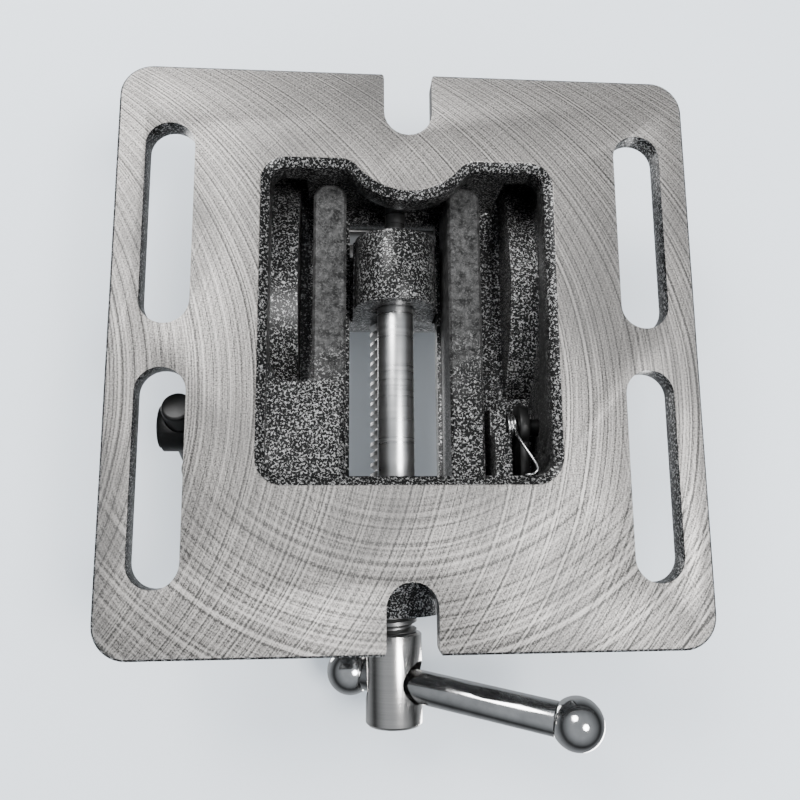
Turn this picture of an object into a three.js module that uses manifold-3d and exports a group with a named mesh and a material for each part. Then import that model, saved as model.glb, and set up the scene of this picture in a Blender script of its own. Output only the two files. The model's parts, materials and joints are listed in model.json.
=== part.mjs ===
// Quick-release drill-press vise with 100 mm jaws, as an assembly of separate parts.
//
// Frame: millimetres, +X to the release lever's side, +Y from the handle to the fixed jaw, +Z up.
// The parts are drawn about the middle of the base plate, with its machined underside at z = 0.
// The last lines move the whole vise along Y, so that the origin is the middle of its footprint.

import * as THREE from 'three';
import { mergeVertices } from 'three/addons/utils/BufferGeometryUtils.js';
import Module from 'manifold-3d';

const wasm = await Module();
wasm.setup();

// ---- Driving dimensions --------------------------------------------------------------------

const AXIS_X = 2.6; // the ways, jaws, rod and screw stand this far towards the lever's side
const GAP = 0.3; // clearance between pieces that touch
const FOOTPRINT_SHIFT = 13.69; // from the plate's middle to the middle of the whole footprint

const PLATE = { half: 80, thick: 6.5, corner: 9, draft: 0.7 };
const SLOT = { x: 65.6, y: 34.4, width: 13.4, length: 57 };
const NOTCH = { width: 13.6, rearEnd: 61.3, frontEnd: -61.6, mouth: 2 };
const OPENING = { half: 38.5, front: -34.5, rear: 51.4, rim: 2.6, rimHeight: 1.5, lip: 8.5 };
const LOBE = { y: 63.3, radius: 21 };

const BODY = { half: 45, front: -67, rear: 62.5, wall: 5.5 };
const DECK = { top: 36, thick: 6, slotHalf: 13.6, slotRear: 47.5 };
const RIB = { inner: 14.7, outer: 24.2, bottom: 10 };
const SCOOP = { y: 26, z: 61, radius: 43, skin: 4, innerX: 31.3, outerX: 35.6 };
const SHELF = { innerX: 19.1, rear: -8.7, bottom: 4 };
const LUG = { x0: -29.2, x1: -24.6, rear: -22, bottom: 11 };
const FRONT_WALL = { rear: -40, front: -48.5 };
const SADDLE = { half: 21, top: 47, noseRadius: 14, front: -73.5, bottom: 22 };

const ROD = { z: 21, radius: 5.4, spigot: 3.05, shoulder: 34, front: -46 };
const SCREW = { z: 37, radius: 7, journal: 5, front: -79, jawEnd: 15.7, rear: 31 };
const HUB = { radius: 8.4, front: -105.3, holeY: -93, holeRadius: 6.2, socket: -84.8 };
const BAR = { radius: 4.7, ball: 7.2, reach: 54.3, back: 14.6, drop: 27.7, lean: 7.6 };

const JAW = { half: 50, top: 60, front: 16.3, rear: 38, bossRear: 37.2, bossRadius: 12.1 };
const JAW_PLATE = { thick: 5, bottom: 38, screwX: 32, screwZ: 49 };
const FIXED_FACE = 47.4; // the fixed jaw plate's gripping face

const PIVOT = { y: -19, z: 22, radius: 5, armLength: 36 };
const HEAD = { x0: 46, x1: 70, radius: 7.1, barX: 63.4 };
const LEVER = { radius: 4.4, chamfer: 0.6, down: 12.6, up: 26, grip: 34, tilt: 20 };
const ARM = { thick: 3, halfHeight: 4.5, leftX: 32, rightX: -36 };
const LIFT_ROD = { radius: 3, half: 35.4 };
const NUT = { half: 13, bottom: 15.5, rear: -48.8, front: -59.2, bore: 7.4 };

const ROUND = 24; // sides of the larger cylinders

// ---- Finishes ------------------------------------------------------------------------------

const finish = (color, roughness, metalness) => ({ color, roughness, metalness });
const PAINTED_IRON = finish(0x2b2e30, 0.45, 0.2);
const GROUND_STEEL = finish(0xa8a9a8, 0.25, 1);
const SCREW_STEEL = finish(0x6d6e6e, 0.4, 1);
const BRIGHT_STEEL = finish(0xc4c2ba, 0.15, 1);
const CHROME = finish(0xaab0b2, 0.1, 1);
const BLACK_OXIDE = finish(0x1a1b1d, 0.4, 0.7);
const JAW_STEEL = finish(0x8d8f90, 0.35, 1);
const BRONZE = finish(0x9a7b48, 0.4, 1);

// ---- Solids --------------------------------------------------------------------------------

function solid(geometry) {
  geometry.deleteAttribute('normal');
  geometry.deleteAttribute('uv');
  const merged = mergeVertices(geometry, 1e-4);
  return new wasm.Manifold(new wasm.Mesh({
    numProp: 3,
    vertProperties: Float32Array.from(merged.attributes.position.array),
    triVerts: Uint32Array.from(merged.index.array),
  }));
}

function join(first, ...others) {
  return others.reduce((whole, piece) => whole.add(piece), first);
}

function cut(first, ...tools) {
  return tools.reduce((left, tool) => left.subtract(tool), first);
}

function box([x0, x1], [y0, y1], [z0, z1]) {
  const geometry = new THREE.BoxGeometry(x1 - x0, y1 - y0, z1 - z0);
  geometry.translate((x0 + x1) / 2, (y0 + y1) / 2, (z0 + z1) / 2);
  return solid(geometry);
}

// A cylinder along Y, X or Z, from one end to the other, about the given centre line.
function rodY(radius, [y0, y1], x, z, sides = ROUND) {
  const geometry = new THREE.CylinderGeometry(radius, radius, y1 - y0, sides);
  geometry.translate(x, (y0 + y1) / 2, z);
  return solid(geometry);
}

function rodX(radius, [x0, x1], y, z, sides = ROUND) {
  const geometry = new THREE.CylinderGeometry(radius, radius, x1 - x0, sides);
  geometry.rotateZ(-Math.PI / 2);
  geometry.translate((x0 + x1) / 2, y, z);
  return solid(geometry);
}

function rodZ(radius, [z0, z1], x, y, sides = ROUND) {
  const geometry = new THREE.CylinderGeometry(radius, radius, z1 - z0, sides);
  geometry.rotateX(Math.PI / 2);
  geometry.translate(x, y, (z0 + z1) / 2);
  return solid(geometry);
}

// An outline in X and Y, pushed up from z0 to z1.
function prism(shape, [z0, z1], curveSegments = 6) {
  const geometry = new THREE.ExtrudeGeometry(shape, {
    depth: z1 - z0, bevelEnabled: false, curveSegments,
  });
  geometry.translate(0, 0, z0);
  return solid(geometry);
}

// An outline in Y and Z, pushed along X from x0 to x1.
function prismX(shape, [x0, x1], curveSegments = 6) {
  const geometry = new THREE.ExtrudeGeometry(shape, {
    depth: x1 - x0, bevelEnabled: false, curveSegments,
  });
  geometry.applyMatrix4(new THREE.Matrix4().makeBasis(
    new THREE.Vector3(0, 1, 0), new THREE.Vector3(0, 0, 1), new THREE.Vector3(1, 0, 0)));
  geometry.translate(x0, 0, 0);
  return solid(geometry);
}

// An outline in X and Z, pushed along Y from y0 to y1.
function prismY(shape, [y0, y1], curveSegments = 6) {
  const geometry = new THREE.ExtrudeGeometry(shape, {
    depth: y1 - y0, bevelEnabled: false, curveSegments,
  });
  geometry.applyMatrix4(new THREE.Matrix4().makeBasis(
    new THREE.Vector3(1, 0, 0), new THREE.Vector3(0, 0, 1), new THREE.Vector3(0, -1, 0)));
  geometry.translate(0, y1, 0);
  return solid(geometry);
}

function outline(points) {
  return new THREE.Shape(points.map(([u, v]) => new THREE.Vector2(u, v)));
}

function roundedRect([u0, u1], [v0, v1], radius) {
  const shape = new THREE.Shape();
  shape.moveTo(u0 + radius, v0);
  shape.lineTo(u1 - radius, v0);
  shape.absarc(u1 - radius, v0 + radius, radius, -Math.PI / 2, 0);
  shape.lineTo(u1, v1 - radius);
  shape.absarc(u1 - radius, v1 - radius, radius, 0, Math.PI / 2);
  shape.lineTo(u0 + radius, v1);
  shape.absarc(u0 + radius, v1 - radius, radius, Math.PI / 2, Math.PI);
  shape.lineTo(u0, v0 + radius);
  shape.absarc(u0 + radius, v0 + radius, radius, Math.PI, 1.5 * Math.PI);
  return shape;
}

// A body of revolution about local Y, from points of [radius, height].
function turned(points, sides = ROUND) {
  return new THREE.LatheGeometry(points.map(([r, h]) => new THREE.Vector2(r, h)), sides);
}

function geometryOf(manifold) {
  const made = manifold.getMesh();
  const geometry = new THREE.BufferGeometry();
  geometry.setAttribute('position', new THREE.BufferAttribute(made.vertProperties.slice(), 3));
  geometry.setIndex(new THREE.BufferAttribute(made.triVerts.slice(), 1));
  return geometry;
}

const vise = new THREE.Group();

function add(name, shape, look, parent = vise) {
  const geometry = shape.isBufferGeometry ? shape : geometryOf(shape);
  const mesh = new THREE.Mesh(geometry, new THREE.MeshStandardMaterial(look));
  mesh.name = name;
  parent.add(mesh);
  return mesh;
}

const across = (half) => [AXIS_X - half, AXIS_X + half];
const SIDES = [-1, 1];

// ---- Base casting --------------------------------------------------------------------------

// The flange that bolts down: drafted all round, with four slots and a U notch at each end.
function flange() {
  const { half, thick, corner, draft } = PLATE;
  const geometry = new THREE.ExtrudeGeometry(
    roundedRect([draft - half, half - draft], [draft - half, half - draft], corner - draft),
    {
      depth: thick - 2 * draft, bevelThickness: draft, bevelSize: draft,
      bevelSegments: 1, curveSegments: 5,
    });
  geometry.translate(0, 0, draft);
  return solid(geometry);
}

function boltSlot(x, y) {
  const { width, length } = SLOT;
  const shape = roundedRect(
    [x - width / 2, x + width / 2], [y - length / 2, y + length / 2], width / 2 - 0.01);
  return prism(shape, [-1, PLATE.thick + 1]);
}

// A U notch from its round end to the plate's edge, whose mouth corners are rounded off.
function endNotch(end, side, top) {
  const r = NOTCH.width / 2;
  const m = NOTCH.mouth;
  const edge = PLATE.half + 1;
  const turn = edge - m - 1;
  const shape = new THREE.Shape();
  shape.moveTo(r, Math.abs(end) + r);
  shape.lineTo(r, turn);
  shape.quadraticCurveTo(r, edge - 1, r + m, edge);
  shape.lineTo(-r - m, edge);
  shape.quadraticCurveTo(-r, edge - 1, -r, turn);
  shape.lineTo(-r, Math.abs(end) + r);
  shape.absarc(0, Math.abs(end) + r, r, Math.PI, 2 * Math.PI);
  const notch = prism(shape, [-1, top]);
  return side > 0 ? notch : notch.rotate([0, 0, 180]);
}

// The opening's outline below the lip: a rounded rectangle with a lobe left round the rear notch.
function openingOutline() {
  const { half, front, rear } = OPENING;
  const rearCorner = 4.5;
  const frontCorner = 5;
  const blend = 4;
  const reach = Math.sqrt((LOBE.radius + blend) ** 2 - (LOBE.y - rear + blend) ** 2);
  const start = Math.atan2(LOBE.y - rear + blend, reach);
  const shape = new THREE.Shape();
  shape.moveTo(-half + frontCorner, front);
  shape.lineTo(half - frontCorner, front);
  shape.absarc(half - frontCorner, front + frontCorner, frontCorner, -Math.PI / 2, 0);
  shape.lineTo(half, rear - rearCorner);
  shape.absarc(half - rearCorner, rear - rearCorner, rearCorner, 0, Math.PI / 2);
  shape.lineTo(reach, rear);
  shape.absarc(reach, rear - blend, blend, Math.PI / 2, Math.PI - start);
  shape.absarc(0, LOBE.y, LOBE.radius, -start, Math.PI + start, true);
  shape.absarc(-reach, rear - blend, blend, start, Math.PI / 2);
  shape.lineTo(-half + rearCorner, rear);
  shape.absarc(-half + rearCorner, rear - rearCorner, rearCorner, Math.PI / 2, Math.PI);
  shape.lineTo(-half, front + frontCorner);
  shape.absarc(-half + frontCorner, front + frontCorner, frontCorner, Math.PI, 1.5 * Math.PI);
  return shape;
}

// The sloped rim: as wide as the rim at the underside, closing to the lip's outline above it.
function openingRim() {
  const { rim, rimHeight } = OPENING;
  const geometry = new THREE.ExtrudeGeometry(openingOutline(), {
    depth: 2, bevelThickness: rimHeight, bevelSize: rim, bevelSegments: 1, curveSegments: 6,
  });
  geometry.translate(0, 0, -2);
  return solid(geometry);
}

function scoopCylinder(radius, side, x0) {
  const far = BODY.half + 10;
  const range = side > 0 ? [x0, far] : [-far, -x0];
  return rodX(radius, range, SCOOP.y, SCOOP.z, 60);
}

// A rib under the deck beside the slot, rounded at its rear end and eased along its underside.
function rib(side) {
  const { inner, outer, bottom } = RIB;
  const ease = 0.8;
  const xs = [AXIS_X + side * inner, AXIS_X + side * outer].sort((a, b) => a - b);
  const geometry = new THREE.ExtrudeGeometry(
    roundedRect([xs[0] + ease, xs[1] - ease], [FRONT_WALL.front, OPENING.rear - 1.5], 3.4),
    {
      depth: DECK.top - DECK.thick + 1 - bottom, bevelThickness: ease, bevelSize: ease,
      bevelSegments: 1, curveSegments: 5,
    });
  geometry.translate(0, 0, bottom + ease);
  return solid(geometry);
}

// The solid corner over which the release shaft turns, as seen from below.
function shelf() {
  const { innerX, rear, bottom } = SHELF;
  const r = 4;
  const shape = new THREE.Shape();
  shape.moveTo(innerX, BODY.front + 5);
  shape.lineTo(BODY.half - 1, BODY.front + 5);
  shape.lineTo(BODY.half - 1, rear + 6);
  shape.lineTo(OPENING.half, rear + 6);
  shape.absarc(OPENING.half - 6, rear + 6, 6, 0, -Math.PI / 2, true);
  shape.lineTo(innerX + r, rear);
  shape.absarc(innerX + r, rear - r, r, Math.PI / 2, Math.PI);
  return prism(shape, [bottom, DECK.top - DECK.thick + 1]);
}

// Everything that the cores leave open under the deck.
function cavity() {
  const { half, front, rear, lip } = OPENING;
  const roof = DECK.top - DECK.thick;
  const below = prism(openingOutline(), [-1, lip], 6);
  const above = box([-half - 1, half + 1], [front, rear], [lip - 0.1, roof]);
  const throat = box(across(RIB.inner), [FRONT_WALL.rear, front + 1], [lip - 0.1, roof]);
  const pockets = SIDES.map((side) => {
    const xs = [side * 28.7, side * (half + 1)].sort((a, b) => a - b);
    return box(xs, [rear - 1, 58], [lip, roof]);
  });
  const skins = SIDES.map((side) => scoopCylinder(SCOOP.radius + SCOOP.skin, side, SCOOP.innerX));
  const lug = box([LUG.x0, LUG.x1], [front - 1, LUG.rear], [LUG.bottom, roof + 1]);
  const lugTop = box([LUG.x0, LUG.x1], [LUG.rear - 1, PIVOT.y + 5], [PIVOT.z - 4.2, roof + 1]);
  return cut(
    join(below, above, throat, ...pockets),
    ...skins, rib(-1), rib(1), shelf(), lug, lugTop);
}

// Room for the two arms, the lift rod and the half nut in the front of the body.
function releaseRoom() {
  const zs = [PIVOT.z - 10.5, PIVOT.z + 6.5];
  const rodY0 = PIVOT.y - PIVOT.armLength;
  const arms = [ARM.leftX, ARM.rightX].map((x) =>
    box([x - 0.7, x + ARM.thick + 0.7], [rodY0 - 5.5, PIVOT.y + 7], zs));
  const tunnel = box([ARM.rightX, ARM.leftX + ARM.thick], [rodY0 - 4, rodY0 + 4], [zs[0], zs[1] - 2]);
  const nutRoom = box(
    across(NUT.half + GAP), [NUT.front - GAP, NUT.rear + GAP], [zs[0] - 2, SADDLE.top + 1]);
  return join(arms[0], arms[1], tunnel, nutRoom);
}

// The block that carries the screw, rounded at its nose.
function saddle() {
  const { half, top, noseRadius, front, bottom } = SADDLE;
  const shape = roundedRect(across(half), [bottom, top], 5);
  return join(
    prismY(shape, [BODY.front + 1, FRONT_WALL.rear]),
    rodY(noseRadius, [front, BODY.front + 2], AXIS_X, SCREW.z, 40));
}

// The fixed jaw, leaning back, with two gusset ribs behind it.
function fixedJawBlock() {
  const front = FIXED_FACE + JAW_PLATE.thick;
  const { half, top } = JAW;
  const profile = outline([
    [front, DECK.top - 3], [front, top - 1], [front + 1, top], [BODY.rear - 1.5, top],
    [BODY.rear, top - 1.5], [BODY.rear, DECK.top - 10], [front + 4, DECK.top - 10],
  ]);
  const gusset = outline([
    [BODY.rear - 1, PLATE.thick - 1], [BODY.rear + 13, PLATE.thick - 1],
    [BODY.rear + 12, PLATE.thick + 3], [BODY.rear - 1, top - 12],
  ]);
  return join(
    prismX(profile, across(half)),
    prismX(gusset, [AXIS_X - 34, AXIS_X - 27]),
    prismX(gusset, [AXIS_X + 27, AXIS_X + 34]));
}

function baseCasting() {
  const roughBody = prism(
    roundedRect([-BODY.half, BODY.half], [BODY.front, BODY.rear], 7), [1, DECK.top], 6);
  const scooped = cut(
    roughBody,
    scoopCylinder(SCOOP.radius, -1, SCOOP.outerX),
    scoopCylinder(SCOOP.radius, 1, SCOOP.outerX));
  const whole = join(flange(), scooped, saddle(), fixedJawBlock());
  const slots = SIDES.flatMap((sx) => SIDES.map((sy) => boltSlot(sx * SLOT.x, sy * SLOT.y)));
  const noseRelief = box(
    [-NOTCH.width / 2, NOTCH.width / 2], [BODY.front - 1, NOTCH.frontEnd - 0.9],
    [PLATE.thick - 1, SADDLE.bottom]);
  const deckSlot = box(
    across(DECK.slotHalf), [FRONT_WALL.rear, DECK.slotRear],
    [DECK.top - DECK.thick - 1, DECK.top + 1]);
  const screwHole = rodY(SCREW.radius + 0.5, [SADDLE.front - 1, FRONT_WALL.rear + 1], AXIS_X, SCREW.z);
  const rodSocket = rodY(ROD.radius + GAP, [ROD.front - GAP, FRONT_WALL.rear + 1], AXIS_X, ROD.z);
  const spigotHole = rodY(ROD.spigot + GAP, [OPENING.rear - 1, BODY.rear + 1], AXIS_X, ROD.z, 20);
  const shaftHole = rodX(PIVOT.radius + GAP, [27, BODY.half + 1], PIVOT.y, PIVOT.z, 24);
  const pinHole = rodX(2.5 + GAP, [-BODY.half - 1, LUG.x0 + 3.6], PIVOT.y, PIVOT.z, 20);
  const jawScrewHoles = SIDES.map((side) => rodY(
    3.4, [FIXED_FACE, FIXED_FACE + 13.5], AXIS_X + side * JAW_PLATE.screwX, JAW_PLATE.screwZ, 20));
  const coverHoles = coverScrewPlaces().map(([x, y]) => rodZ(2.3, [37, SADDLE.top + 1], x, y, 16));
  return cut(
    whole,
    ...slots,
    endNotch(NOTCH.rearEnd, 1, PLATE.thick + 1),
    endNotch(NOTCH.frontEnd, -1, PLATE.thick + 0.2),
    noseRelief, openingRim(), cavity(), releaseRoom(), deckSlot,
    screwHole, rodSocket, spigotHole, shaftHole, pinHole, ...jawScrewHoles, ...coverHoles);
}

function coverScrewPlaces() {
  return SIDES.flatMap((sx) => [-45, -61.5].map((y) => [AXIS_X + sx * 17, y]));
}

// ---- Jaws ----------------------------------------------------------------------------------

function movableJaw() {
  const { half, top, front, rear, bossRear, bossRadius } = JAW;
  const low = DECK.top + GAP;
  const profile = outline([
    [front, low], [rear, low], [rear, top], [rear - 7, top], [front + 6, 51], [front, 48],
  ]);
  const head = prismX(profile, across(half));
  // the ends of the head slope in towards the screw, so that it narrows to the front
  const slopes = SIDES.map((side) => {
    const u = (value) => AXIS_X + side * value;
    return prism(outline([
      [u(half + 1), front - 1], [u(half + 1), rear - 8], [u(half), rear - 8],
      [u(24), front - 1],
    ]), [low - 1, top + 1]);
  });
  const web = box(across(12.6), [front, bossRear], [ROD.z, low + 2]);
  const boss = rodY(bossRadius, [front, bossRear], AXIS_X, ROD.z, 40);
  const screwBore = rodY(SCREW.journal + GAP, [front - 1, rear], AXIS_X, SCREW.z, 24);
  const collarRoom = rodY(9.3, [24, rear + 1], AXIS_X, SCREW.z, 28);
  const rodBore = rodY(ROD.radius + GAP, [front - 1, bossRear + 1], AXIS_X, ROD.z, 28);
  const screwHoles = SIDES.map((side) => rodY(
    3.4, [rear - 9, rear + 1], AXIS_X + side * JAW_PLATE.screwX, JAW_PLATE.screwZ, 20));
  return cut(join(cut(head, ...slopes), web, boss), screwBore, collarRoom, rodBore, ...screwHoles);
}

// A hardened plate, with its grip face at y and its back thick behind it.
function jawPlate(back, face) {
  const ys = [Math.min(back, face), Math.max(back, face)];
  const into = Math.sign(back - face);
  const plate = prismY(
    roundedRect(across(JAW.half - 0.5), [JAW_PLATE.bottom, JAW.top], 0.8),
    [ys[0] + (into < 0 ? GAP : 0), ys[1] - (into > 0 ? GAP : 0)], 2);
  const holes = SIDES.flatMap((side) => {
    const x = AXIS_X + side * JAW_PLATE.screwX;
    const sunk = [face - 1, face + into * 3.4].sort((a, b) => a - b);
    return [
      rodY(3.4, [ys[0] - 1, ys[1] + 1], x, JAW_PLATE.screwZ, 20),
      rodY(5.4, into > 0 ? sunk : [face - 3.4, face + 1], x, JAW_PLATE.screwZ, 24),
    ];
  });
  return cut(plate, ...holes);
}

// A socket head screw whose head is at y = 0 and whose shank runs towards -Y.
function socketScrew(headRadius, headLength, shankRadius, shankLength, socket) {
  const body = join(
    rodY(headRadius, [-headLength, 0], 0, 0, 24),
    rodY(shankRadius, [-headLength - shankLength, -headLength + 0.5], 0, 0, 16));
  return cut(body, rodY(socket, [-headLength * 0.55, 1], 0, 0, 6));
}

// ---- Screw, hub and tommy bar --------------------------------------------------------------

function leadScrew() {
  const { radius, journal, front, jawEnd, rear } = SCREW;
  const rise = front - 4.6; // the front journal ends inside the hub
  return turned([
    [0, rise], [journal, rise], [journal, front + GAP], [radius - 1.2, front + GAP],
    [radius, front + 1.5], [radius, jawEnd - 1.5], [radius - 1.2, jawEnd], [journal, jawEnd],
    [journal, rear - 0.8], [journal - 0.8, rear], [0, rear],
  ]);
}

function hub() {
  const { radius, front, holeY, holeRadius, socket } = HUB;
  const body = solid(turned([
    [0, front - 0.9], [3.6, front - 0.9], [4.6, front], [radius - 0.8, front],
    [radius, front + 0.8], [radius, SCREW.front - 0.5], [radius - 0.5, SCREW.front],
    [0, SCREW.front],
  ], 36));
  const bore = rodY(SCREW.journal + 0.25, [socket, SCREW.front + 1], 0, 0, 28);
  const drop = THREE.MathUtils.degToRad(BAR.drop);
  const cross = rodX(holeRadius, [-12, 12], holeY, 0, 36).rotate([0, -(drop * 180) / Math.PI, 0]);
  const pinHole = rodX(1.6, [-12, 12], SCREW.front - 2.4, 0, 12);
  return cut(body, bore, cross, pinHole);
}

function screwWithPinHole() {
  return cut(solid(leadScrew()), rodX(1.6, [-8, 8], SCREW.front - 2.4, 0, 12));
}

function collar() {
  const ring = cut(
    rodY(8.8, [24 + GAP, 29.8], 0, 0, 28),
    rodY(SCREW.journal + 0.25, [20, 32], 0, 0, 24));
  return cut(ring, rodX(1.5, [-10, 10], 27, 0, 12));
}

// The bar lies along local +Y, with the hub's hole at its origin, and ends in two spigots.
function tommyBar() {
  const { radius, ball, reach, back } = BAR;
  const end = ball - 1.7;
  return turned([
    [0, -back + 2.4], [3, -back + 2.4], [3, -back + end], [radius - 0.4, -back + end],
    [radius, -back + end + 0.4], [radius, reach - end - 0.4], [radius - 0.4, reach - end],
    [3, reach - end], [3, reach - 2.4], [0, reach - 2.4],
  ], 28);
}

function barBall(facing) {
  const { ball } = BAR;
  const whole = new THREE.SphereGeometry(ball, 22, 14);
  const bore = new THREE.CylinderGeometry(3.25, 3.25, 10, 20);
  bore.translate(0, facing * 7, 0);
  const face = new THREE.BoxGeometry(20, 4, 20);
  face.translate(0, facing * (ball - 1.4 + 2 - 0.6), 0);
  return cut(solid(whole), solid(bore), solid(face));
}

// ---- Release -------------------------------------------------------------------------------

function releaseShaft() {
  const { x0, x1, radius, barX } = HEAD;
  const head = join(
    rodX(radius, [x0, x1 - 1], PIVOT.y, PIVOT.z, 36),
    rodX(radius - 1, [x1 - 2, x1], PIVOT.y, PIVOT.z, 36),
    rodX(PIVOT.radius, [27 + GAP, x0 + 1], PIVOT.y, PIVOT.z, 28));
  const barHole = solid(new THREE.CylinderGeometry(LEVER.radius + 0.25, LEVER.radius + 0.25, 40, 28))
    .rotate([90 + LEVER.tilt, 0, 0]).translate([barX, PIVOT.y, PIVOT.z]);
  return cut(head, barHole);
}

function leverBar() {
  const { radius, chamfer, down, up } = LEVER;
  return turned([
    [0, -down], [radius - chamfer, -down], [radius, -down + chamfer], [radius, up], [3, up],
    [3, up + 6], [0, up + 6],
  ], 28);
}

function leverGrip() {
  const { up, grip } = LEVER;
  return turned([
    [3.3, up + GAP], [4.9, up + GAP], [6.2, up + 2], [6.4, up + 6], [5.4, grip + 1.4],
    [3.6, grip + 2.6], [0, grip + 3], [0, up + 6 + GAP], [3.3, up + 6 + GAP], [3.3, up + GAP],
  ], 28);
}

function liftArm(x, boreRadius) {
  const { halfHeight, thick } = ARM;
  const y1 = PIVOT.y;
  const y0 = PIVOT.y - PIVOT.armLength;
  const bar = box([x, x + thick], [y0, y1], [PIVOT.z - halfHeight, PIVOT.z + halfHeight]);
  const ends = [rodX(halfHeight, [x, x + thick], y0, PIVOT.z, 24),
    rodX(halfHeight + 2, [x, x + thick], y1, PIVOT.z, 28)];
  return cut(
    join(bar, ...ends),
    rodX(boreRadius, [x - 1, x + thick + 1], y1, PIVOT.z, 28),
    rodX(LIFT_ROD.radius + 0.25, [x - 1, x + thick + 1], y0, PIVOT.z, 20));
}

function halfNut() {
  const { half, bottom, rear, front, bore } = NUT;
  const y0 = PIVOT.y - PIVOT.armLength;
  const block = box(across(half), [front, rear], [bottom, SCREW.z - 0.4]);
  const groove = rodY(bore, [front - 1, rear + 1], AXIS_X, SCREW.z, 40);
  const rodHole = rodX(LIFT_ROD.radius + 0.5, across(half + 1), y0, PIVOT.z, 20);
  return cut(block, groove, rodHole);
}

// A torsion spring: turns round the pivot pin, one leg hooked on the arm and one on the casting.
function torsionSpring() {
  const turns = 2.5;
  const steps = 12;
  const radius = 3.6;
  const startX = LUG.x0 - 0.8;
  const pitch = 0.94;
  const points = [new THREE.Vector3(startX + 0.05, PIVOT.y - 7, PIVOT.z + radius)];
  for (let i = 0; i <= turns * steps; i += 1) {
    const angle = Math.PI / 2 + (i / steps) * 2 * Math.PI;
    points.push(new THREE.Vector3(
      startX - (i / steps) * pitch,
      PIVOT.y - radius * Math.cos(angle), PIVOT.z + radius * Math.sin(angle)));
  }
  const leg = [
    [-31.8, -22, 14.6], [-33.1, -25.4, 12.2], [-35.6, -30.2, 10.2],
    [-36.3, -32.2, 9.9], [-35.3, -33.4, 9.9], [-32.6, -33.8, 9.8],
  ];
  points.push(...leg.map(([x, y, z]) => new THREE.Vector3(x, y, z)));
  const path = new THREE.CatmullRomCurve3(points, false, 'centripetal');
  const wire = new THREE.Shape().absarc(0, 0, 0.5, 0, 2 * Math.PI);
  return new THREE.ExtrudeGeometry(wire, {
    steps: 90, extrudePath: path, bevelEnabled: false, curveSegments: 3,
  });
}

// ---- Cover and small fasteners -------------------------------------------------------------

function nutCover() {
  const plate = prism(roundedRect(across(20), [-64.6, -41], 3), [SADDLE.top + GAP, SADDLE.top + 3]);
  const holes = coverScrewPlaces().map(([x, y]) => rodZ(2.3, [40, 60], x, y, 16));
  return cut(plate, ...holes);
}

function hexNut(radius, [y0, y1], bore) {
  return cut(rodY(radius, [y0, y1], 0, 0, 6), rodY(bore, [y0 - 1, y1 + 1], 0, 0, 20));
}

// ---- Assembly ------------------------------------------------------------------------------

function fitBase() {
  add('base_casting', baseCasting(), PAINTED_IRON);
  add('fixed_jaw_plate', jawPlate(FIXED_FACE + JAW_PLATE.thick, FIXED_FACE), JAW_STEEL);
  add('movable_jaw_plate', jawPlate(JAW.rear, JAW.rear + JAW_PLATE.thick), JAW_STEEL);
  add('movable_jaw', movableJaw(), PAINTED_IRON);
  for (const side of SIDES) {
    const name = side < 0 ? 'right' : 'left';
    const x = AXIS_X + side * JAW_PLATE.screwX;
    const fixed = add(`fixed_jaw_screw_${name}`, socketScrew(5, 3, 3, 8.6, 2.6), BLACK_OXIDE);
    fixed.position.set(x, FIXED_FACE + 0.2, JAW_PLATE.screwZ);
    fixed.rotation.z = Math.PI;
    const moving = add(`movable_jaw_screw_${name}`, socketScrew(5, 3, 3, 7, 2.6), BLACK_OXIDE);
    moving.position.set(x, JAW.rear + JAW_PLATE.thick - 0.2, JAW_PLATE.screwZ);
  }
}

function fitGuideRod() {
  const { radius, spigot, shoulder, front } = ROD;
  const rod = add('guide_rod', turned([
    [0, front], [radius - 0.8, front], [radius, front + 0.8], [radius, shoulder - 0.8],
    [radius - 0.8, shoulder], [spigot, shoulder], [spigot, BODY.rear + 5.4],
    [0, BODY.rear + 5.4],
  ]), GROUND_STEEL);
  rod.position.set(AXIS_X, 0, ROD.z);
  const hex = hexNut(5.6, [BODY.rear + GAP, BODY.rear + 4.6], spigot + 0.25);
  const nut = add('guide_rod_nut', hex, SCREW_STEEL);
  nut.position.set(AXIS_X, 0, ROD.z);
}

function fitScrew() {
  const spindle = new THREE.Group();
  spindle.position.set(AXIS_X, 0, SCREW.z);
  vise.add(spindle);
  add('lead_screw', screwWithPinHole(), SCREW_STEEL, spindle);
  add('screw_collar', collar(), SCREW_STEEL, spindle);
  add('spindle_hub', hub(), BRIGHT_STEEL, spindle);
  add('hub_pin', rodX(1.3, [-7.9, 7.9], SCREW.front - 2.4, 0, 12), BLACK_OXIDE, spindle);

  const bar = new THREE.Group();
  bar.position.set(0, HUB.holeY, 0);
  const drop = THREE.MathUtils.degToRad(BAR.drop);
  const lean = THREE.MathUtils.degToRad(BAR.lean);
  const along = new THREE.Vector3(
    -Math.cos(lean) * Math.cos(drop), -Math.sin(lean), -Math.cos(lean) * Math.sin(drop));
  bar.quaternion.setFromUnitVectors(new THREE.Vector3(0, 1, 0), along);
  spindle.add(bar);
  add('tommy_bar', tommyBar(), CHROME, bar);
  add('bar_ball_right', barBall(-1), CHROME, bar).position.y = BAR.reach;
  add('bar_ball_left', barBall(1), CHROME, bar).position.y = -BAR.back;
}

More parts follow.
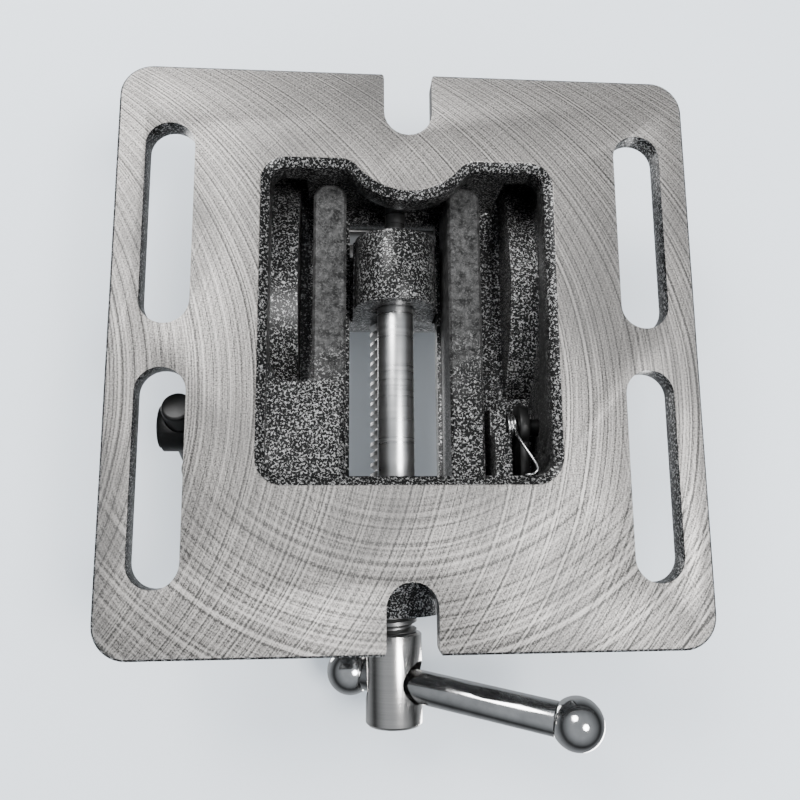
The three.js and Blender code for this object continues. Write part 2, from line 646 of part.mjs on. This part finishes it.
function fitRelease() {
  add('release_shaft', releaseShaft(), BLACK_OXIDE);
  const lever = new THREE.Group();
  lever.position.set(HEAD.barX, PIVOT.y, PIVOT.z);
  lever.rotation.x = THREE.MathUtils.degToRad(90 + LEVER.tilt);
  vise.add(lever);
  add('release_lever_bar', leverBar(), BLACK_OXIDE, lever);
  add('release_lever_grip', leverGrip(), BLACK_OXIDE, lever);

  add('lift_arm_left', liftArm(ARM.leftX, PIVOT.radius + 0.25), BLACK_OXIDE);
  add('lift_arm_right', liftArm(ARM.rightX, 2.75), BLACK_OXIDE);
  add('pivot_pin_right', rodX(2.5, [-BODY.half + 0.5, LUG.x0 + 3.2], PIVOT.y, PIVOT.z, 20), BLACK_OXIDE);
  add('release_spring', torsionSpring(), GROUND_STEEL);
  add('lift_rod', rodX(LIFT_ROD.radius, [-35.8, 34.8], PIVOT.y - PIVOT.armLength, PIVOT.z, 20), GROUND_STEEL);
  add('half_nut', halfNut(), BRONZE);
}

function fitCover() {
  add('nut_cover', nutCover(), PAINTED_IRON);
  coverScrewPlaces().forEach(([x, y], index) => {
    const screw = add(`nut_cover_screw_${index + 1}`, socketScrew(3.6, 2.4, 2, 8, 1.7), BLACK_OXIDE);
    screw.rotation.x = Math.PI / 2;
    screw.position.set(x, y, SADDLE.top + 3 + GAP + 2.4);
  });
}

fitBase();
fitGuideRod();
fitScrew();
fitRelease();
fitCover();
vise.position.y = FOOTPRINT_SHIFT;

export default vise;
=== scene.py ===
"""Quick-release drill-press vise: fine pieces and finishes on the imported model."""

import json
import math

import bmesh
import bpy
from mathutils import Matrix, Vector


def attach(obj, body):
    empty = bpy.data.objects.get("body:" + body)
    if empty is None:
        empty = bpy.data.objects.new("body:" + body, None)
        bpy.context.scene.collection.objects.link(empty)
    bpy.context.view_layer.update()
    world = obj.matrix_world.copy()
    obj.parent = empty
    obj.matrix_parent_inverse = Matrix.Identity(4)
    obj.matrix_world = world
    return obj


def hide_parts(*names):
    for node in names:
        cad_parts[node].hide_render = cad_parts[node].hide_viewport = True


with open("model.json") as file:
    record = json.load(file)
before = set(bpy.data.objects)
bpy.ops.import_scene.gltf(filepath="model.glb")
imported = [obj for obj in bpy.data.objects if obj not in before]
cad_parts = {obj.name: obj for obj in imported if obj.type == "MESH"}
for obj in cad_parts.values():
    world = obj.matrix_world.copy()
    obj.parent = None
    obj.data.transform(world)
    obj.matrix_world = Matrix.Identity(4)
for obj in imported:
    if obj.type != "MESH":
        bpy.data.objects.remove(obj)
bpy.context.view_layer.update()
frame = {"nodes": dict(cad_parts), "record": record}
BODY_OF = {
    node: body
    for body, nodes in frame["record"]["behaviour"]["bodies"].items()
    for node in nodes
}

MM = 0.001
SHIFT_Y = 13.69 * MM  # from the base plate's middle to the origin
AXIS_X = 2.6 * MM  # the ways, rod and screw stand this far towards the lever's side
SCREW_Z = 37 * MM
ROD_Z = 21 * MM
MACHINED_METAL = 0.6  # how metallic the milled iron looks

# Millimetres, measured along each turned piece from the base plate's middle.
ROD = {"front": -46, "shoulder": 34, "end": 67.8, "radius": 5.38, "spigot": 3.03}
SCREW = {"nose": -83.6, "front": -78.7, "thread_end": 15.7, "rear": 31, "journal": 4.98}
THREAD = {"pitch": 3.175, "steps": 32, "crest": 6.98, "root": 5.45}

# The bar's slope and its balls' places, from the middle of the hub's hole.
HUB_Y = -93
BAR = {"drop": 27.7, "lean": 7.6, "radius": 4.68, "spigot": 3, "reach": 54.3, "back": 14.6}
BALL = {"radius": 7.14, "flat": 5.25, "shoulder": 5.5, "socket": 2.4}


# ---- Node helpers for the finishes ---------------------------------------------------------


class Finish:
    """A material being made, with short calls for the nodes that it uses."""

    def __init__(self, name):
        self.material = bpy.data.materials.new(name)
        self.material.use_nodes = True
        self.tree = self.material.node_tree
        self.shader = self.tree.nodes["Principled BSDF"]
        place = self.tree.nodes.new("ShaderNodeTexCoord")
        self.place = place.outputs["Object"]

    def put(self, socket, value):
        if isinstance(value, bpy.types.NodeSocket):
            self.tree.links.new(value, socket)
        else:
            socket.default_value = value

    def axes(self):
        split = self.tree.nodes.new("ShaderNodeSeparateXYZ")
        self.put(split.inputs[0], self.place)
        return split.outputs

    def facing(self):
        geometry = self.tree.nodes.new("ShaderNodeNewGeometry")
        split = self.tree.nodes.new("ShaderNodeSeparateXYZ")
        self.put(split.inputs[0], geometry.outputs["Normal"])
        return split.outputs

    def math(self, operation, a, b=0.0, clamp=False):
        node = self.tree.nodes.new("ShaderNodeMath")
        node.operation = operation
        node.use_clamp = clamp
        self.put(node.inputs[0], a)
        self.put(node.inputs[1], b)
        return node.outputs[0]

    def stretched(self, scale):
        mapping = self.tree.nodes.new("ShaderNodeMapping")
        self.put(mapping.inputs["Vector"], self.place)
        mapping.inputs["Scale"].default_value = scale
        return mapping.outputs[0]

    def noise(self, scale, detail=3.0, rough=0.55, vector=None, distort=0.0):
        node = self.tree.nodes.new("ShaderNodeTexNoise")
        self.put(node.inputs["Vector"], vector or self.place)
        node.inputs["Scale"].default_value = scale
        node.inputs["Detail"].default_value = detail
        node.inputs["Roughness"].default_value = rough
        node.inputs["Distortion"].default_value = distort
        return node.outputs[0]

    def lines(self, along, per_metre, detail=3.0):
        node = self.tree.nodes.new("ShaderNodeTexNoise")
        node.noise_dimensions = "1D"
        self.put(node.inputs["W"], along)
        node.inputs["Scale"].default_value = per_metre
        node.inputs["Detail"].default_value = detail
        return node.outputs[0]

    def pores(self, scale):
        node = self.tree.nodes.new("ShaderNodeTexVoronoi")
        self.put(node.inputs["Vector"], self.place)
        node.inputs["Scale"].default_value = scale
        return node.outputs["Distance"]

    def ramp(self, value, low, high, start=0.0, end=1.0):
        node = self.tree.nodes.new("ShaderNodeMapRange")
        self.put(node.inputs["Value"], value)
        node.inputs["From Min"].default_value = low
        node.inputs["From Max"].default_value = high
        node.inputs["To Min"].default_value = start
        node.inputs["To Max"].default_value = end
        return node.outputs[0]

    def blend(self, amount, a, b):
        node = self.tree.nodes.new("ShaderNodeMix")
        node.data_type = "RGBA"
        self.put(node.inputs["Factor"], amount)
        self.put(node.inputs[6], a)
        self.put(node.inputs[7], b)
        return node.outputs[2]

    def bump(self, height, distance, strength=1.0, over=None):
        node = self.tree.nodes.new("ShaderNodeBump")
        self.put(node.inputs["Height"], height)
        self.put(node.inputs["Strength"], strength)
        node.inputs["Distance"].default_value = distance
        if over is not None:
            self.put(node.inputs["Normal"], over)
        return node.outputs[0]

    def done(self, colour, rough, metal, normal=None):
        self.put(self.shader.inputs["Base Color"], colour)
        self.put(self.shader.inputs["Roughness"], rough)
        self.put(self.shader.inputs["Metallic"], metal)
        if normal is not None:
            self.put(self.shader.inputs["Normal"], normal)
        return self.material


def grey(value, warm=0.0):
    return (value * (1 + warm), value, value * (1 - warm), 1)


# ---- Finishes ------------------------------------------------------------------------------


def hammered_paint(f):
    """Black paint broken up by fine silver flecks, as colour, roughness, metal and height."""
    worms = f.noise(1750, detail=2, rough=0.55, distort=0.8)
    thick = f.noise(60, detail=2)
    edge = f.ramp(thick, 0.3, 0.7, 0.565, 0.53)
    fleck = f.math("MULTIPLY", f.math("SUBTRACT", worms, edge), 20, clamp=True)
    shade = f.blend(f.noise(300, detail=2), grey(0.003), grey(0.010))
    silver = f.blend(f.noise(700), grey(0.26), grey(0.52))
    colour = f.blend(fleck, shade, silver)
    rough = f.ramp(fleck, 0, 1, 0.3, 0.42)
    metal = f.ramp(fleck, 0, 1, 0.0, 0.55)
    return colour, rough, metal, fleck


def milled_arcs(f):
    """Fine arcs left by a wide face cutter: its leading edge, its trailing edge, and a dwell."""
    x, y, _ = f.axes()
    wander = f.math("MULTIPLY", f.noise(26, detail=1), 0.0012)
    radius = 0.104
    reach = f.math("SQRT", f.math("SUBTRACT", radius ** 2, f.math("POWER", y, 2)))
    lead = f.lines(f.math("ADD", f.math("ADD", x, reach), wander), 1300, 3)
    trail = f.lines(f.math("ADD", f.math("SUBTRACT", x, reach), wander), 1500, 3)
    across = f.math("POWER", f.math("SUBTRACT", x, 0.002), 2)
    down = f.math("POWER", f.math("SUBTRACT", y, 0.022), 2)
    rings = f.lines(f.math("SQRT", f.math("ADD", across, down)), 800, 3)
    dwell = f.ramp(y, -0.020, -0.034)
    return lead, trail, f.math("MULTIPLY", f.math("SUBTRACT", rings, 0.5), dwell)


def machined_iron(f):
    lead, trail, rings = milled_arcs(f)
    grain = f.noise(2300, detail=2)
    patches = f.noise(16, detail=4, rough=0.6)
    streaks = f.math("ADD", f.math("MULTIPLY", lead, 0.56), f.math("MULTIPLY", trail, 0.18))
    streaks = f.math("ADD", streaks, f.math("MULTIPLY", rings, 0.5))
    tone = f.math("ADD", streaks, f.math("MULTIPLY", grain, 0.52))
    colour = f.blend(f.ramp(tone, 0.5, 0.78), grey(0.06, 0.03), grey(0.47, 0.045))
    smudge = f.ramp(patches, 0.47, 0.72, 0, 0.75)
    colour = f.blend(smudge, colour, grey(0.12, 0.02))
    pits = f.ramp(f.pores(330), 0.0, 0.13, 1, 0)
    pits = f.math("MULTIPLY", pits, f.ramp(f.noise(45), 0.5, 0.62))
    colour = f.blend(f.math("MULTIPLY", pits, 0.8), colour, grey(0.05))
    rough = f.ramp(patches, 0.3, 0.7, 0.4, 0.54)
    height = f.math("SUBTRACT", tone, pits)
    return colour, rough, MACHINED_METAL, height


def as_cast_iron(f):
    mottle = f.ramp(f.noise(420, detail=5, rough=0.7), 0.38, 0.66)
    colour = f.blend(mottle, grey(0.006), grey(0.09))
    return colour, 0.6, 0.5, f.noise(900, detail=3)


def casting_finish(name, machined, bare=None):
    """Painted iron, with machined faces where machined(f) is 1 and bare iron where bare(f) is."""
    f = Finish(name)
    paint = hammered_paint(f)
    iron = machined_iron(f)
    mask = machined(f)
    colour, rough, metal, height = paint
    if bare is not None:
        cast = as_cast_iron(f)
        skin = bare(f)
        colour = f.blend(skin, colour, cast[0])
        rough = f.math("ADD", rough, f.math("MULTIPLY", skin, 0.2))
        height = f.math("MULTIPLY", height, f.ramp(skin, 0, 1, 1, 0.2))
    colour = f.blend(mask, colour, iron[0])
    rough_mix = f.ramp(mask, 0, 1, 1, 0)
    rough = f.math("ADD", f.math("MULTIPLY", rough, rough_mix), f.math("MULTIPLY", iron[1], mask))
    metal = f.math("ADD", f.math("MULTIPLY", metal, rough_mix), f.math("MULTIPLY", mask, MACHINED_METAL))
    rest = f.math("MULTIPLY", height, rough_mix)
    cut = f.math("MULTIPLY", iron[3], f.math("MULTIPLY", mask, 0.45))
    normal = f.bump(f.math("ADD", rest, cut), 0.00012, 0.55)
    f.put(f.shader.inputs["Specular IOR Level"], 0.2)
    return f.done(colour, rough, metal, normal)


def base_faces(f):
    """The underside, and the ways on top where the jaw slides."""
    _, _, z = f.axes()
    _, _, up = f.facing()
    under = f.math("LESS_THAN", z, 0.00012)
    ways = f.math("MULTIPLY", f.math("GREATER_THAN", z, 0.0359), f.math("LESS_THAN", z, 0.0361))
    ways = f.math("MULTIPLY", ways, f.math("GREATER_THAN", up, 0.9))
    return f.math("ADD", under, ways, clamp=True)


def rail_faces(f):
    """The rails' undersides, where the paint thins out towards the back."""
    x, y, z = f.axes()
    off = f.math("ABSOLUTE", f.math("SUBTRACT", x, AXIS_X))
    inside = f.math("MULTIPLY", f.math("GREATER_THAN", off, 0.0142), f.math("LESS_THAN", off, 0.0246))
    low = f.math("MULTIPLY", f.math("GREATER_THAN", z, 0.0098), f.math("LESS_THAN", z, 0.0300))
    low = f.math("MULTIPLY", low, f.math("LESS_THAN", y, 0.064))
    fade = f.ramp(f.math("ADD", y, f.math("MULTIPLY", f.noise(260), 0.03)), 0.014, 0.034)
    return f.math("MULTIPLY", f.math("MULTIPLY", inside, low), f.math("MULTIPLY", fade, 0.85))


def top_faces(f):
    _, _, z = f.axes()
    _, _, up = f.facing()
    return f.math("MULTIPLY", f.math("GREATER_THAN", z, 0.0598), f.math("GREATER_THAN", up, 0.9))


def turned_steel(name, shade, rough, axis_scale, spread=0.25, warm=0.0):
    """Turned or ground round bar: fine rings round it, given by noise squeezed along its axis."""
    f = Finish(name)
    rings = f.noise(1, detail=4, rough=0.7, vector=f.stretched(axis_scale))
    stain = f.noise(90, detail=3)
    tone = f.math("ADD", f.math("MULTIPLY", rings, 0.8), f.math("MULTIPLY", stain, 0.2))
    colour = f.blend(f.ramp(tone, 0.3, 0.7), grey(shade * (1 - spread), warm),
                     grey(shade * (1 + spread), warm))
    height = f.bump(rings, 0.00003, 0.35)
    return f.done(colour, f.ramp(tone, 0.3, 0.7, rough * 0.75, rough * 1.3), 1.0, height)


def plated(name):
    f = Finish(name)
    haze = f.noise(140, detail=4)
    wipe = f.noise(1, detail=3, vector=f.stretched((1800, 220, 400)))
    colour = f.blend(f.ramp(haze, 0.35, 0.7), grey(0.5), grey(0.68))
    rough = f.ramp(f.math("MULTIPLY", haze, wipe), 0.1, 0.45, 0.07, 0.18)
    return f.done(colour, rough, 1.0, f.bump(wipe, 0.00001, 0.25))


def oxide(name):
    f = Finish(name)
    cloud = f.noise(230, detail=4)
    rub = f.ramp(f.noise(70, detail=5, rough=0.7), 0.6, 0.75, 0, 0.6)
    colour = f.blend(rub, f.blend(cloud, grey(0.012), grey(0.035)), grey(0.12, 0.02))
    return f.done(colour, f.ramp(cloud, 0.3, 0.7, 0.3, 0.5), 0.75, f.bump(cloud, 0.00004, 0.3))


def ground_plate(name):
    f = Finish(name)
    strokes = f.noise(1, detail=4, vector=f.stretched((60, 900, 3200)))
    stain = f.noise(60, detail=3)
    colour = f.blend(f.ramp(strokes, 0.35, 0.65), grey(0.3, 0.01), grey(0.5, 0.01))
    colour = f.blend(f.ramp(stain, 0.55, 0.75, 0, 0.4), colour, grey(0.2, 0.03))
    return f.done(colour, f.ramp(strokes, 0.3, 0.7, 0.28, 0.45), 1.0, f.bump(strokes, 0.00003, 0.4))


def nut_bronze(name):
    f = Finish(name)
    cloud = f.noise(200, detail=4)
    colour = f.blend(cloud, (0.30, 0.19, 0.07, 1), (0.55, 0.38, 0.15, 1))
    return f.done(colour, f.ramp(cloud, 0.3, 0.7, 0.35, 0.55), 1.0, f.bump(cloud, 0.00005, 0.4))


BASE_IRON = casting_finish("base_iron_and_paint", base_faces, rail_faces)
JAW_IRON = casting_finish("jaw_iron_and_paint", top_faces)
ROD_STEEL = turned_steel("ground_guide_rod", 0.62, 0.3, (9, 700, 9), 0.03)
THREAD_STEEL = turned_steel("screw_steel", 0.3, 0.4, (120, 1500, 120), 0.35, 0.01)
HUB_STEEL = turned_steel("turned_hub_steel", 0.62, 0.2, (20, 3600, 20), 0.1, 0.03)
SPRING_STEEL = turned_steel("spring_wire", 0.5, 0.25, (500, 500, 500), 0.2)
BRIGHT_PLATE = plated("bright_plated_bar")
OXIDE = oxide("black_oxide_steel")
JAW_STEEL = ground_plate("ground_jaw_plate")
BRONZE = nut_bronze("half_nut_bronze")


# ---- Piece helpers -------------------------------------------------------------------------


def piece(name, bm, material, *nodes, smooth=35):
    """Makes the bmesh an object that stands for these CAD nodes and rides on their body."""
    mesh = bpy.data.meshes.new(name)
    bm.normal_update()
    bm.to_mesh(mesh)
    bm.free()
    mesh.shade_smooth()
    mesh.set_sharp_from_angle(angle=math.radians(smooth))
    mesh.materials.append(material)
    made = bpy.data.objects.new(name, mesh)
    bpy.context.scene.collection.objects.link(made)
    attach(made, BODY_OF[nodes[0]])
    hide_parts(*nodes)
    return made


def eased(node, material, edge=0.35, segments=2, smooth=35, limit=28):
    """A finer copy of a CAD node: triangles of one face joined, and its sharp edges eased."""
    bm = bmesh.new()
    bm.from_mesh(frame["nodes"][node].data)
    bmesh.ops.remove_doubles(bm, verts=bm.verts, dist=2e-6)
    bmesh.ops.dissolve_limit(
        bm, angle_limit=math.radians(1), verts=bm.verts, edges=bm.edges, delimit=set())
    if edge:
        sharp = [
            e for e in bm.edges
            if len(e.link_faces) == 2 and e.calc_face_angle(0) > math.radians(limit)
        ]
        bmesh.ops.bevel(
            bm, geom=sharp, offset=edge * MM, offset_type="OFFSET", segments=segments,
            affect="EDGES", profile=0.5, material=-1, clamp_overlap=True, harden_normals=False)
    return piece(node + "_fine", bm, material, node, smooth=smooth)


def spun(bm, profile, place, steps=72):
    """Turns a profile of (radius, height) in millimetres about the Y axis of place."""
    verts = [bm.verts.new(Vector((r, h, 0)) * MM) for r, h in profile]
    edges = [bm.edges.new(pair) for pair in zip(verts, verts[1:])]
    start = set(bm.verts) - set(verts)
    bmesh.ops.spin(
        bm, geom=verts + edges, cent=(0, 0, 0), axis=(0, 1, 0), angle=2 * math.pi,
        steps=steps, use_merge=True)
    new = [v for v in bm.verts if v not in start]
    bmesh.ops.remove_doubles(bm, verts=new, dist=1e-7)
    new = [v for v in bm.verts if v not in start]
    bmesh.ops.recalc_face_normals(bm, faces=list({f for v in new for f in v.link_faces}))
    bmesh.ops.transform(bm, matrix=place, verts=new)
    return new


def rounded(profile, ease=0.5):
    """Profile points with each outer corner cut twice, so that it turns round it."""
    out = [profile[0]]
    for before, at, after in zip(profile, profile[1:], profile[2:]):
        a, b, c = Vector(before), Vector(at), Vector(after)
        back = min(ease, (a - b).length * 0.45)
        on = min(ease, (c - b).length * 0.45)
        first = b + (a - b).normalized() * back
        last = b + (c - b).normalized() * on
        middle = (first + last + b * 2) / 4
        out += [tuple(first), tuple(middle), tuple(last)]
    return out + [profile[-1]]


def along_y(x, z):
    return Matrix.Translation((x, SHIFT_Y, z))


# ---- The castings and the plain pieces -----------------------------------------------------

eased("base_casting", BASE_IRON, edge=0.45, smooth=40)
eased("movable_jaw", JAW_IRON, edge=0.6)
eased("nut_cover", JAW_IRON, edge=0.5)
for plate in ("fixed_jaw_plate", "movable_jaw_plate"):
    eased(plate, JAW_STEEL, edge=0.3)
for node in ("release_shaft", "release_lever_bar", "release_lever_grip", "lift_arm_left",
             "lift_arm_right", "pivot_pin_right"):
    eased(node, OXIDE, edge=0.4)
for node in BODY_OF:
    if "_screw_" in node and not node.endswith("_fine"):
        eased(node, OXIDE, edge=0.25)
eased("half_nut", BRONZE, edge=0.4)
eased("lift_rod", SPRING_STEEL, edge=0.3)
eased("guide_rod_nut", THREAD_STEEL, edge=0.4)
eased("screw_collar", THREAD_STEEL, edge=0.3)
eased("spindle_hub", HUB_STEEL, edge=0.35, smooth=30)
eased("hub_pin", OXIDE, edge=0.2)
eased("release_spring", SPRING_STEEL, edge=0, smooth=80)


def guide_rod():
    bm = bmesh.new()
    front, shoulder, end, radius, spigot = ROD.values()
    spun(bm, rounded([
        (0, front), (radius, front), (radius, shoulder), (spigot, shoulder), (spigot, end),
        (0, end),
    ], 0.8), along_y(AXIS_X, ROD_Z), 96)
    piece("guide_rod_fine", bm, ROD_STEEL, "guide_rod", smooth=50)


def lead_screw():
    """A screw with a real helical thread between plain journals."""
    pitch, steps, crest, root = THREAD.values()
    nose, start, end, rear, journal = SCREW.values()
    turns = math.ceil((end - start) / pitch) + 2
    bm = bmesh.new()
    shape = [(root, 0), (root, 0.5), (crest, 1.35), (crest, 2.32), (root, pitch)]
    verts = [bm.verts.new(Vector((r, start - pitch + h, 0)) * MM) for r, h in shape]
    edges = [bm.edges.new(pair) for pair in zip(verts, verts[1:])]
    bmesh.ops.spin(
        bm, geom=verts + edges, cent=(0, 0, 0), axis=(0, 1, 0),
        dvec=Vector((0, pitch / steps, 0)) * MM, angle=2 * math.pi * turns,
        steps=steps * turns)
    bmesh.ops.remove_doubles(bm, verts=bm.verts, dist=5e-6)
    for at, side in ((start, -1), (end, 1)):
        bmesh.ops.bisect_plane(
            bm, geom=list(bm.verts) + list(bm.edges) + list(bm.faces), dist=1e-7,
            plane_co=(0, at * MM, 0), plane_no=(0, side, 0), clear_outer=True)
    bmesh.ops.holes_fill(bm, edges=[e for e in bm.edges if e.is_boundary], sides=0)
    bmesh.ops.recalc_face_normals(bm, faces=bm.faces)
    bmesh.ops.transform(bm, matrix=along_y(AXIS_X, SCREW_Z), verts=bm.verts)
    place = along_y(AXIS_X, SCREW_Z)
    for low, high, ease in ((nose, start + 0.1, 0.3), (end - 0.1, rear, 0.5)):
        ends = [(0, low), (journal, low), (journal, high), (0, high)]
        spun(bm, rounded(ends, ease), place, 48)
    piece("lead_screw_fine", bm, THREAD_STEEL, "lead_screw", smooth=40)


def tommy_bar():
    """The loose cross bar, tilted in its hole, with a ball at each end."""
    drop, lean = math.radians(BAR["drop"]), math.radians(BAR["lean"])
    exact = Vector((-math.cos(lean) * math.cos(drop), -math.sin(lean),
                    -math.cos(lean) * math.sin(drop)))
    turn = Vector((0, 1, 0)).rotation_difference(exact).to_matrix().to_4x4()
    place = Matrix.Translation((AXIS_X, SHIFT_Y + HUB_Y * MM, SCREW_Z)) @ turn
    radius, spigot, reach, back = (BAR[key] for key in ("radius", "spigot", "reach", "back"))
    shoulder, socket = BALL["shoulder"], BALL["socket"]
    bm = bmesh.new()
    spun(bm, rounded([
        (0, socket - back), (spigot, socket - back), (spigot, shoulder - back),
        (radius, shoulder - back), (radius, reach - shoulder), (spigot, reach - shoulder),
        (spigot, reach - socket), (0, reach - socket),
    ], 0.35), place, 64)
    piece("tommy_bar_fine", bm, BRIGHT_PLATE, "tommy_bar", smooth=50)
    for node, centre, side in (("bar_ball_right", reach, 1), ("bar_ball_left", -back, -1)):
        bm = bmesh.new()
        bmesh.ops.create_uvsphere(bm, u_segments=64, v_segments=40, radius=BALL["radius"] * MM)
        bmesh.ops.rotate(bm, cent=(0, 0, 0), verts=bm.verts, matrix=Matrix.Rotation(
            math.pi / 2, 3, "X"))
        cut = bmesh.ops.bisect_plane(
            bm, geom=list(bm.verts) + list(bm.edges) + list(bm.faces), dist=1e-7,
            plane_co=(0, -side * BALL["flat"] * MM, 0), plane_no=(0, -side, 0), clear_outer=True)
        rim = [e for e in cut["geom_cut"] if isinstance(e, bmesh.types.BMEdge)]
        bmesh.ops.holes_fill(bm, edges=rim, sides=0)
        bmesh.ops.recalc_face_normals(bm, faces=bm.faces)
        move = place @ Matrix.Translation((0, centre * MM, 0))
        bmesh.ops.transform(bm, matrix=move, verts=bm.verts)
        piece(node + "_fine", bm, BRIGHT_PLATE, node, smooth=50)


guide_rod()
lead_screw()
tommy_bar()


# ---- Camera, light and stage ---------------------------------------------------------------


def camera():
    data = bpy.data.cameras.new("camera")
    data.sensor_width = 36
    data.lens = 33.75
    data.clip_start = 0.01
    made = bpy.data.objects.new("camera", data)
    right = Vector((-0.9973, -0.0073, -0.0729))
    up = Vector((0.0045, 0.9872, -0.1594))
    back = right.cross(up).normalized()
    up = back.cross(right).normalized()
    turn = Matrix((right.normalized(), up, back)).transposed().to_4x4()
    spot = Vector((17.5, -46.2, -196.1)) * MM + Vector((0, SHIFT_Y, 0))
    made.matrix_world = Matrix.Translation(spot) @ turn
    bpy.context.scene.collection.objects.link(made)
    bpy.context.scene.camera = made


def softbox(name, spot, aim, size, watts):
    data = bpy.data.lights.new(name, "AREA")
    data.shape = "DISK"
    data.size = size
    data.energy = watts
    made = bpy.data.objects.new(name, data)
    made.location = spot
    made.rotation_mode = "QUATERNION"
    made.rotation_quaternion = (Vector(aim) - Vector(spot)).to_track_quat("-Z", "Y")
    bpy.context.scene.collection.objects.link(made)


def pale_sheet(name, height, faces_up):
    """A pale floor that only shows from the side that it faces."""
    material = bpy.data.materials.new(name)
    material.use_nodes = True
    tree = material.node_tree
    shader = tree.nodes["Principled BSDF"]
    shader.inputs["Base Color"].default_value = (0.72, 0.75, 0.78, 1)
    shader.inputs["Roughness"].default_value = 0.8
    clear = tree.nodes.new("ShaderNodeBsdfTransparent")
    side = tree.nodes.new("ShaderNodeNewGeometry")
    mix = tree.nodes.new("ShaderNodeMixShader")
    tree.links.new(side.outputs["Backfacing"], mix.inputs[0])
    tree.links.new(shader.outputs[0], mix.inputs[1])
    tree.links.new(clear.outputs[0], mix.inputs[2])
    tree.links.new(mix.outputs[0], tree.nodes["Material Output"].inputs[0])
    bm = bmesh.new()
    bmesh.ops.create_grid(bm, x_segments=1, y_segments=1, size=12)
    if not faces_up:
        bmesh.ops.reverse_faces(bm, faces=bm.faces)
    bmesh.ops.translate(bm, vec=(0, 0, height), verts=bm.verts)
    mesh = bpy.data.meshes.new(name)
    bm.to_mesh(mesh)
    bm.free()
    mesh.materials.append(material)
    made = bpy.data.objects.new(name, mesh)
    made.visible_shadow = False
    made.visible_glossy = False
    bpy.context.scene.collection.objects.link(made)


def room():
    """Soft grey surroundings, darkest level with the object so that bright metal shows dark."""
    world = bpy.data.worlds.new("room")
    bpy.context.scene.world = world
    world.use_nodes = True
    tree = world.node_tree
    place = tree.nodes.new("ShaderNodeTexCoord")
    split = tree.nodes.new("ShaderNodeSeparateXYZ")
    level = tree.nodes.new("ShaderNodeMath")
    level.operation = "ABSOLUTE"
    fall = tree.nodes.new("ShaderNodeMapRange")
    fall.inputs["From Min"].default_value = 0.05
    fall.inputs["From Max"].default_value = 0.75
    fall.inputs["To Min"].default_value = 0.05
    fall.inputs["To Max"].default_value = 0.5
    tree.links.new(place.outputs["Generated"], split.inputs[0])
    tree.links.new(split.outputs["Z"], level.inputs[0])
    tree.links.new(level.outputs[0], fall.inputs["Value"])
    background = tree.nodes["Background"]
    background.inputs[0].default_value = (0.9, 0.95, 1.0, 1)
    tree.links.new(fall.outputs[0], background.inputs[1])


def studio():
    room()
    pale_sheet("floor", -0.0006, True)
    pale_sheet("floor_under_upturned_vise", 0.0606, False)
    aim = (0, 0, 0.02)
    softbox("light_below_left", (0.30, 0.40, -0.60), aim, 0.35, 6)
    softbox("light_below_front", (-0.26, -0.10, -0.68), aim, 0.3, 6)
    softbox("light_above_left", (-0.5, -0.45, 0.75), aim, 0.4, 6)
    softbox("light_above_right", (0.6, 0.3, 0.8), aim, 0.5, 4)


camera()
studio()
